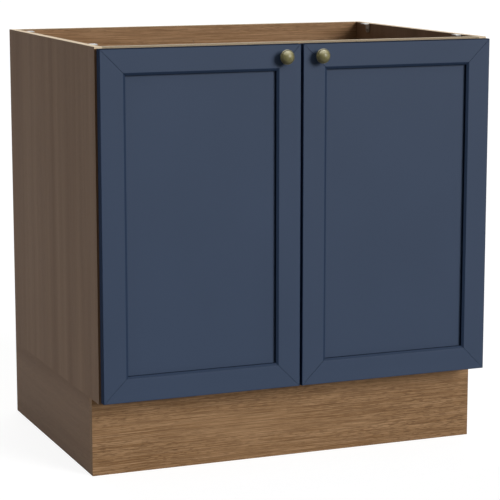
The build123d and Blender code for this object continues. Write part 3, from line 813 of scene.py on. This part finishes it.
@dataclass
class Knob:
    """A turned brass knob: foot, hollow neck, beaded rim, groove and low dome. Sizes are in millimetres."""

    body: Body
    node: str
    foot: Span = (7.5, 1.5)
    foot_round: float = 0.3
    neck: Span = (5.0, 7.0)
    rim: float = 14.0
    shoulder: float = 13.2
    rim_low: float = 12.5
    rim_high: float = 16.0
    groove_edge: float = 12.9
    groove_sink: float = 0.1
    dome_foot: Span = (12.3, 15.2)
    height: float = 25.0
    steps: int = 10
    dome_steps: int = 20
    fade_steps: int = 4
    turns: int = 96
    pole: float = 1e-6
    patina: Patina = Patina()

    def profile(self) -> list[Triple]:
        """The turned profile from the door outwards.

        Returns:
            Radius, height and patina of each point.
        """
        dark = self.patina
        foot_radius, foot_height = self.foot
        neck_radius, neck_height = self.neck
        dome_radius, dome_height = self.dome_foot
        points = [
            (0.0, 0.0, dark.back),
            (foot_radius - self.foot_round, 0.0, dark.foot_back),
            (foot_radius, self.foot_round, dark.foot_edge),
            (foot_radius, foot_height, dark.foot),
        ]
        shares = [step / self.steps for step in range(1, self.steps + 1)]
        for turn in (share * math.pi / 2 for share in shares):
            points.append((neck_radius + (foot_radius - neck_radius) * (1 - math.sin(turn)),
                           foot_height + (neck_height - foot_height) * (1 - math.cos(turn)), dark.neck))
        for share in shares:
            turn = share * math.pi / 2
            points.append((neck_radius + (self.shoulder - neck_radius) * (1 - math.cos(turn)),
                           neck_height + (self.rim_low - neck_height) * math.sin(turn),
                           dark.neck + (dark.shoulder - dark.neck) * share))
        half = (self.rim_high - self.rim_low) / 2
        for turn in (-math.pi / 2 + share * math.pi for share in shares):
            points.append((self.shoulder + (self.rim - self.shoulder) * math.cos(turn),
                           self.rim_low + half * (1 + math.sin(turn)), dark.rim))
        points.append((self.groove_edge, self.rim_high, dark.lip))
        points.append(((self.groove_edge + dome_radius) / 2, dome_height - self.groove_sink, dark.groove))
        rise = self.height - dome_height
        ball = (dome_radius**2 + rise**2) / (2 * rise)
        sweep = math.asin(min(1.0, dome_radius / ball))
        for step in range(self.dome_steps + 1):
            turn = sweep * (1 - step / self.dome_steps)
            points.append((ball * math.sin(turn), self.height - ball * (1 - math.cos(turn)),
                           max(0.0, 1.0 - step / self.fade_steps)))
        return points

    def build(self) -> None:
        """Turns the knob on its axis and dresses it in brass."""
        low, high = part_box(self.node)
        centre = Vector(((low.x + high.x) / 2, high.y, (low.z + high.z) / 2))
        shape = bmesh.new()
        patina = shape.verts.layers.float.new("patina")
        rings: list[list[bmesh.types.BMVert]] = []
        for radius, height, depth in self.profile():
            count = self.turns if radius > self.pole else 1
            ring = []
            for step in range(count):
                turn = 2 * math.pi * step / count
                offset = Vector((radius * math.cos(turn), -height, radius * math.sin(turn))) * MM
                vert = shape.verts.new(centre + offset)
                vert[patina] = depth
                ring.append(vert)
            rings.append(ring)
        for inner, outer in zip(rings, rings[1:]):
            for step in range(self.turns):
                corners = [inner[step % len(inner)], inner[(step + 1) % len(inner)],
                           outer[(step + 1) % len(outer)], outer[step % len(outer)]]
                shape.faces.new(list(dict.fromkeys(corners)))
        bmesh.ops.recalc_face_normals(shape, faces=shape.faces)
        finished(mesh_of(shape, BRASS), f"{self.node}_turned", self.body, Slot.BRASS, self.node)


@dataclass
class PlatedPieces:
    """Pressed metal pieces with softened edges."""

    node: str
    body: Body
    finish: Finish
    edge: float = 0.25 * MM
    segments: int = 2
    sharp: float = math.radians(50.0)

    def build(self) -> None:
        """Softens the edges of a copy of the CAD node and plates it."""
        shape = merged(self.node)
        shape.normal_update()
        edges = [e for e in shape.edges if len(e.link_faces) == 2 and e.calc_face_angle(0.0) > self.sharp]
        bmesh.ops.bevel(shape, geom=edges, offset=self.edge, segments=self.segments, profile=0.5,
                        affect="EDGES", clamp_overlap=True)
        finished(mesh_of(shape, self.finish), f"{self.node}_pressed", self.body, Slot.STEEL, self.node)


@dataclass(frozen=True)
class FastenerSizes:
    """Sizes of a fastener with a cross recess, in millimetres."""

    head_radius: float
    head_height: float
    top_radius: float
    shank_radius: float
    shank_length: float
    recess_length: float
    recess_width: float
    recess_depth: float


BOARD_SCREW = FastenerSizes(
    head_radius=3.5, head_height=2.0, top_radius=2.5, shank_radius=1.75, shank_length=12.0,
    recess_length=3.6, recess_width=0.9, recess_depth=1.1)
ARM_SCREW = replace(BOARD_SCREW, shank_length=8.0)
KNOB_SCREW = FastenerSizes(
    head_radius=4.0, head_height=2.2, top_radius=3.4, shank_radius=2.0, shank_length=26.0,
    recess_length=4.4, recess_width=1.0, recess_depth=1.2)
BACK_NAIL = FastenerSizes(
    head_radius=2.2, head_height=0.9, top_radius=2.1, shank_radius=1.0, shank_length=17.0,
    recess_length=1.4, recess_width=0.25, recess_depth=0.12)
CAM_LOCK = FastenerSizes(
    head_radius=7.4, head_height=11.0, top_radius=7.3, shank_radius=6.0, shank_length=1.0,
    recess_length=8.5, recess_width=1.5, recess_depth=2.6)


@dataclass
class Seat:
    """Where a fastener sits: the middle of its head's outer face and the way that the face looks."""

    place: Vector
    facing: Vector


@dataclass
class Fasteners:
    """Fasteners of one kind on one body, set out by Geometry Nodes on the seats of their CAD nodes."""

    name: str
    body: Body
    nodes: tuple[str, ...]
    sizes: FastenerSizes
    finish: Finish = ZINC
    head_facets: int = 32
    shank_facets: int = 16
    tip_share: float = 0.35
    touch: float = 0.05 * MM
    mid_height: float = 400.0 * MM

    def build(self) -> None:
        """Sets out the fasteners and turns them into one plain mesh."""
        seats = [seat for node in self.nodes for seat in self.seats(node)]
        base = bpy.data.meshes.new(f"{self.name}_seats")
        base.from_pydata([seat.place for seat in seats], [], [])
        facing = base.attributes.new("facing", "FLOAT_VECTOR", "POINT")
        for item, seat in zip(facing.data, seats):
            item.vector = seat.facing
        layout = placed(f"{self.name}_layout", base)
        modifier = layout.modifiers.new("fasteners", "NODES")
        modifier.node_group = self.tree()
        values = {size.name: getattr(self.sizes, size.name) * MM for size in fields(self.sizes)}
        values["finish"] = self.finish.material()
        for item in modifier.node_group.interface.items_tree:
            if item.name in values:
                modifier[item.identifier] = values[item.name]
        mesh = evaluated(layout)
        layout.modifiers.remove(modifier)
        bpy.data.objects.remove(layout)
        finished(mesh, self.name, self.body, Slot.STEEL, *self.nodes)

    def seats(self, node: str) -> list[Seat]:
        """Finds the seats of the separate fasteners in a CAD node.

        Args:
            node: the node's name.

        Returns:
            One seat for each fastener, facing the way that its wider end looks.
        """
        copy = merged(node)
        left, found = set(copy.verts), []
        while left:
            grown, stack = [], [left.pop()]
            while stack:
                vert = stack.pop()
                grown.append(vert.co.copy())
                near = {e.other_vert(vert) for e in vert.link_edges} & left
                left -= near
                stack.extend(near)
            found.append(self.seat(grown))
        copy.free()
        return sorted(found, key=lambda seat: tuple(seat.place))

    def seat(self, points: list[Vector]) -> Seat:
        """Works out the seat of one fastener.

        Args:
            points: the corner points of its CAD solid.

        Returns:
            Its seat.
        """
        low = Vector([min(p[i] for p in points) for i in range(3)])
        high = Vector([max(p[i] for p in points) for i in range(3)])
        size = high - low
        odd = max(range(3), key=lambda i: min(abs(size[i] - size[j]) for j in range(3) if j != i))
        middle = (low + high) / 2
        place, facing = middle.copy(), Vector((0.0, 0.0, 0.0))
        spread = [max((Vector([p[i] - middle[i] for i in range(3) if i != odd]).length for p in points
                       if abs(p[odd] - end) < self.touch), default=0.0) for end in (low[odd], high[odd])]
        outward = 1.0 if spread[1] > spread[0] + self.touch else -1.0
        if abs(spread[1] - spread[0]) <= self.touch:
            outward = self.open_side(odd, middle)
        place[odd] = high[odd] if outward > 0 else low[odd]
        facing[odd] = outward
        return Seat(place, facing)

    def open_side(self, axis: int, middle: Vector) -> float:
        """Tells which end of a lock that is alike at both ends lies in a board's open face.

        Args:
            axis: the axis that the lock lies along.
            middle: its middle.

        Returns:
            1 for the high end, and -1 for the low one.
        """
        if axis == 0:
            return -1.0 if middle.x > 0 else 1.0
        if axis == 1:
            return 1.0 if middle.z > self.mid_height else -1.0
        return -1.0

    def tree(self) -> bpy.types.NodeTree:
        """Draws up the node tree of a fastener with a cross recess, set out on the seats.

        Returns:
            The tree, with a named input for each size.
        """
        made = bpy.data.node_groups.get("cross_head_fastener")
        if made is not None:
            return made
        made = bpy.data.node_groups.new("cross_head_fastener", "GeometryNodeTree")
        made.interface.new_socket("seats", in_out="INPUT", socket_type="NodeSocketGeometry")
        for size in fields(FastenerSizes):
            made.interface.new_socket(size.name, in_out="INPUT", socket_type="NodeSocketFloat")
        made.interface.new_socket("finish", in_out="INPUT", socket_type="NodeSocketMaterial")
        made.interface.new_socket("fasteners", in_out="OUTPUT", socket_type="NodeSocketGeometry")
        sheet = NodeSheet(made)
        given = sheet.add("NodeGroupInput").outputs
        sunk = sheet.maths("MULTIPLY", given["head_height"], -1.0)
        head = self.tapered(sheet, self.head_facets, given["top_radius"], given["head_radius"],
                            given["head_height"], sunk)
        # The cutters' middles lie in the head's outer face, so half of each is in the air
        deep = sheet.maths("MULTIPLY", given["recess_depth"], 2.0)
        carved = sheet.add("GeometryNodeMeshBoolean", {0: head}, operation="DIFFERENCE")
        for arm in (("recess_length", "recess_width"), ("recess_width", "recess_length")):
            size = sheet.vector(given[arm[0]], given[arm[1]], deep)
            cutter = sheet.add("GeometryNodeMeshCube", {"Size": size})
            made.links.new(cutter.outputs[0], carved.inputs[1])
        tip = sheet.maths("MULTIPLY", given["shank_radius"], self.tip_share)
        shank = self.tapered(sheet, self.shank_facets, given["shank_radius"], tip, given["shank_length"],
                             sheet.maths("SUBTRACT", sunk, given["shank_length"]))
        whole = sheet.add("GeometryNodeJoinGeometry")
        for part in (carved.outputs[0], shank):
            made.links.new(part, whole.inputs[0])
        facing = sheet.add("GeometryNodeInputNamedAttribute", {"Name": "facing"}, data_type="FLOAT_VECTOR")
        turned = sheet.add("FunctionNodeAlignRotationToVector", {"Vector": facing.outputs[0]}, axis="Z")
        points = {"Points": given["seats"], "Instance": whole.outputs[0], "Rotation": turned.outputs[0]}
        instances = sheet.add("GeometryNodeInstanceOnPoints", points)
        real = sheet.add("GeometryNodeRealizeInstances", {0: instances.outputs[0]})
        plating = {"Geometry": real.outputs[0], "Material": given["finish"]}
        plated = sheet.add("GeometryNodeSetMaterial", plating)
        sheet.add("NodeGroupOutput", {0: plated.outputs[0]})
        return made

    @staticmethod
    def tapered(
        sheet: NodeSheet, facets: int, top: Socket, bottom: Socket, length: Socket, level: Socket
    ) -> Socket:
        """Adds a tapered round part of a fastener.

        Args:
            sheet: the tree's node sheet.
            facets: how many sides it has.
            top: the radius of its upper end.
            bottom: the radius of its lower end.
            length: how long it is.
            level: the height of its lower end.

        Returns:
            The part.
        """
        sizes = {"Vertices": facets, "Radius Top": top, "Radius Bottom": bottom, "Depth": length}
        cone = sheet.add("GeometryNodeMeshCone", sizes).outputs[0]
        move = {"Geometry": cone, "Translation": sheet.vector(0.0, 0.0, level)}
        return sheet.add("GeometryNodeTransform", move).outputs[0]


@dataclass
class Hardware:
    """Brackets, hinges, pins, screws, nails and cam locks."""

    brackets: tuple[str, ...] = ("worktop_brackets", "plinth_brackets")
    board_screws: tuple[str, ...] = (
        "worktop_bracket_screws", "plinth_bracket_screws", "left_plate_screws", "right_plate_screws")
    arm_screws: tuple[str, ...] = ("left_arm_screws", "right_arm_screws")
    fine_edge: float = 0.2 * MM

    def build(self) -> None:
        """Makes the metal pieces of the carcass and of both doors."""
        for node in self.brackets:
            PlatedPieces(node, Body.CARCASS, ZINC).build()
        for hand, door in (("left", Body.LEFT_DOOR), ("right", Body.RIGHT_DOOR)):
            PlatedPieces(f"{hand}_hinge_plates", Body.CARCASS, NICKEL).build()
            PlatedPieces(f"{hand}_hinge_arms", Body.CARCASS, NICKEL, self.fine_edge).build()
            PlatedPieces(f"{hand}_hinge_cups", door, NICKEL, self.fine_edge).build()
            dress(f"{hand}_hinge_pins", NICKEL)
            Fasteners(f"{hand}_door_cup_screws", door, (f"{hand}_cup_screws",), BOARD_SCREW).build()
            Fasteners(f"{hand}_door_knob_screw", door, (f"{hand}_knob_screw",), KNOB_SCREW).build()
        PlatedPieces("shelf_pins", Body.CARCASS, ZINC).build()
        dress("cam_bolts", ZINC)
        for name, nodes, sizes in (
            ("carcass_screws", self.board_screws, BOARD_SCREW),
            ("hinge_arm_screws", self.arm_screws, ARM_SCREW),
            ("back_nails", ("back_panel_nails",), BACK_NAIL),
            ("cam_lock_discs", ("cam_locks",), CAM_LOCK),
        ):
            Fasteners(name, Body.CARCASS, nodes, sizes).build()


@dataclass
class Studio:
    """Camera, soft key light, weak light from behind, pale floor and white surroundings."""

    camera_place: Triple = (-1.4560, -3.6128, 1.0510)
    camera_tilt: float = 80.123
    camera_turn: float = -22.103
    lens: float = 139.49
    sensor: float = 36.0
    key_from: Triple = (0.60, -1.0, 0.42)
    key_strength: float = 2.94
    key_angle: float = 30.0
    fill_from: Triple = (0.25, 1.0, 1.15)
    fill_strength: float = 1.05
    fill_angle: float = 40.0
    lamp_distance: float = 3.0
    ambient: float = 0.204
    front_glow: float = 0.10
    back_glow: float = 0.9
    wall_span: Span = (0.1, 0.7)
    overhead_glow: float = 4.4
    overhead_span: Span = (0.6, 0.85)
    floor_glow: float = 0.75
    floor_grey: float = 0.62
    shadow_grey: float = 0.26
    floor_white: float = 0.87
    floor_reach: float = 20.0
    floor_front: float = -0.45

    def build(self) -> None:
        """Sets up the camera, the lamps, the surroundings and the floor."""
        self.camera()
        self.lamp("key_light", self.key_from, self.key_strength, self.key_angle)
        self.lamp("fill_light", self.fill_from, self.fill_strength, self.fill_angle)
        self.surroundings()
        self.floor()
        bpy.context.scene.view_settings.view_transform = "Standard"

    def camera(self) -> None:
        """Stands the camera where the photograph was taken from."""
        data = bpy.data.cameras.new("photo_camera")
        data.lens, data.sensor_width = self.lens, self.sensor
        camera = placed("photo_camera", data)
        camera.location = self.camera_place
        camera.rotation_euler = (math.radians(self.camera_tilt), 0.0, math.radians(self.camera_turn))
        bpy.context.scene.camera = camera

    def lamp(self, name: str, source: Triple, strength: float, angle: float) -> None:
        """Hangs a soft, far lamp.

        Args:
            name: the lamp's name.
            source: the way that its light comes from.
            strength: its strength.
            angle: how wide it looks, in degrees.
        """
        data = bpy.data.lights.new(name, "SUN")
        data.energy, data.angle = strength, math.radians(angle)
        lamp = placed(name, data)
        lamp.rotation_euler = Vector([-c for c in source]).to_track_quat("-Z", "Y").to_euler()
        lamp.location = Vector(source) * self.lamp_distance

    @staticmethod
    def seen(sheet: NodeSheet) -> tuple[Socket, Socket]:
        """Adds the nodes that tell the rays that show a background.

        Args:
            sheet: the node sheet.

        Returns:
            A factor for rays from the camera, and one for rays from gloss or through glass.
        """
        path = sheet.add("ShaderNodeLightPath").outputs
        bounced = sheet.maths("MAXIMUM", path["Is Glossy Ray"], path["Is Transmission Ray"])
        return path["Is Camera Ray"], bounced

    def surroundings(self) -> None:
        """Lights the room evenly: white where it is seen, and in gloss bright overhead and dim in front."""
        world = bpy.data.worlds.new("studio")
        world.use_nodes = True
        bpy.context.scene.world = world
        sheet = NodeSheet(world.node_tree)
        direct, bounced = self.seen(sheet)
        way = sheet.add("ShaderNodeSeparateXYZ", {0: sheet.add("ShaderNodeTexCoord").outputs["Generated"]})
        walls = sheet.fit(way.outputs[1], self.wall_span, (self.front_glow, self.back_glow))
        overhead = sheet.fit(way.outputs[2], self.overhead_span, (0.0, self.overhead_glow))
        room = sheet.maths("MAXIMUM", walls, overhead)
        strength = sheet.maths("MAXIMUM", sheet.between(bounced, self.ambient, room), direct)
        back = sheet.add("ShaderNodeBackground", {"Color": WHITE, "Strength": strength})
        sheet.add("ShaderNodeOutputWorld", {0: back.outputs[0]})

    def floor(self) -> None:
        """Lays a plain pale floor that looks white and keeps the cabinet's shadow."""
        reach, front = self.floor_reach, self.floor_front
        corners = [(-reach, front, 0), (reach, front, 0), (reach, reach, 0), (-reach, reach, 0)]
        mesh = bpy.data.meshes.new("floor")
        mesh.from_pydata(corners, [], [(0, 1, 2, 3)])
        material = bpy.data.materials.new("pale_floor")
        material.use_nodes = True
        sheet = NodeSheet(material.node_tree)
        direct, bounced = self.seen(sheet)
        shown = sheet.maths("MAXIMUM", direct, sheet.maths("MULTIPLY", bounced, self.floor_glow))
        plain = sheet.add("ShaderNodeBsdfDiffuse", {"Color": grey(self.floor_grey)})
        shade = sheet.add("ShaderNodeBsdfDiffuse", {"Color": grey(self.shadow_grey)})
        white = sheet.add("ShaderNodeEmission", {"Color": WHITE, "Strength": self.floor_white})
        pale = sheet.add("ShaderNodeAddShader", {0: shade.outputs[0], 1: white.outputs[0]})
        mixed = sheet.add("ShaderNodeMixShader", {0: shown, 1: plain.outputs[0], 2: pale.outputs[0]})
        sheet.add("ShaderNodeOutputMaterial", {0: mixed.outputs[0]})
        mesh.materials.append(material)
        placed("floor", mesh)


def main() -> None:
    """Builds the cabinet's looks in order."""
    logging.basicConfig(level=logging.INFO, format="%(message)s")
    Studio().build()
    Carcass().build()
    for door, node in ((Body.LEFT_DOOR, "left_knob"), (Body.RIGHT_DOOR, "right_knob")):
        Door(door).build()
        Knob(door, node).build()
    Hardware().build()


if __name__ == "__main__":
    main()
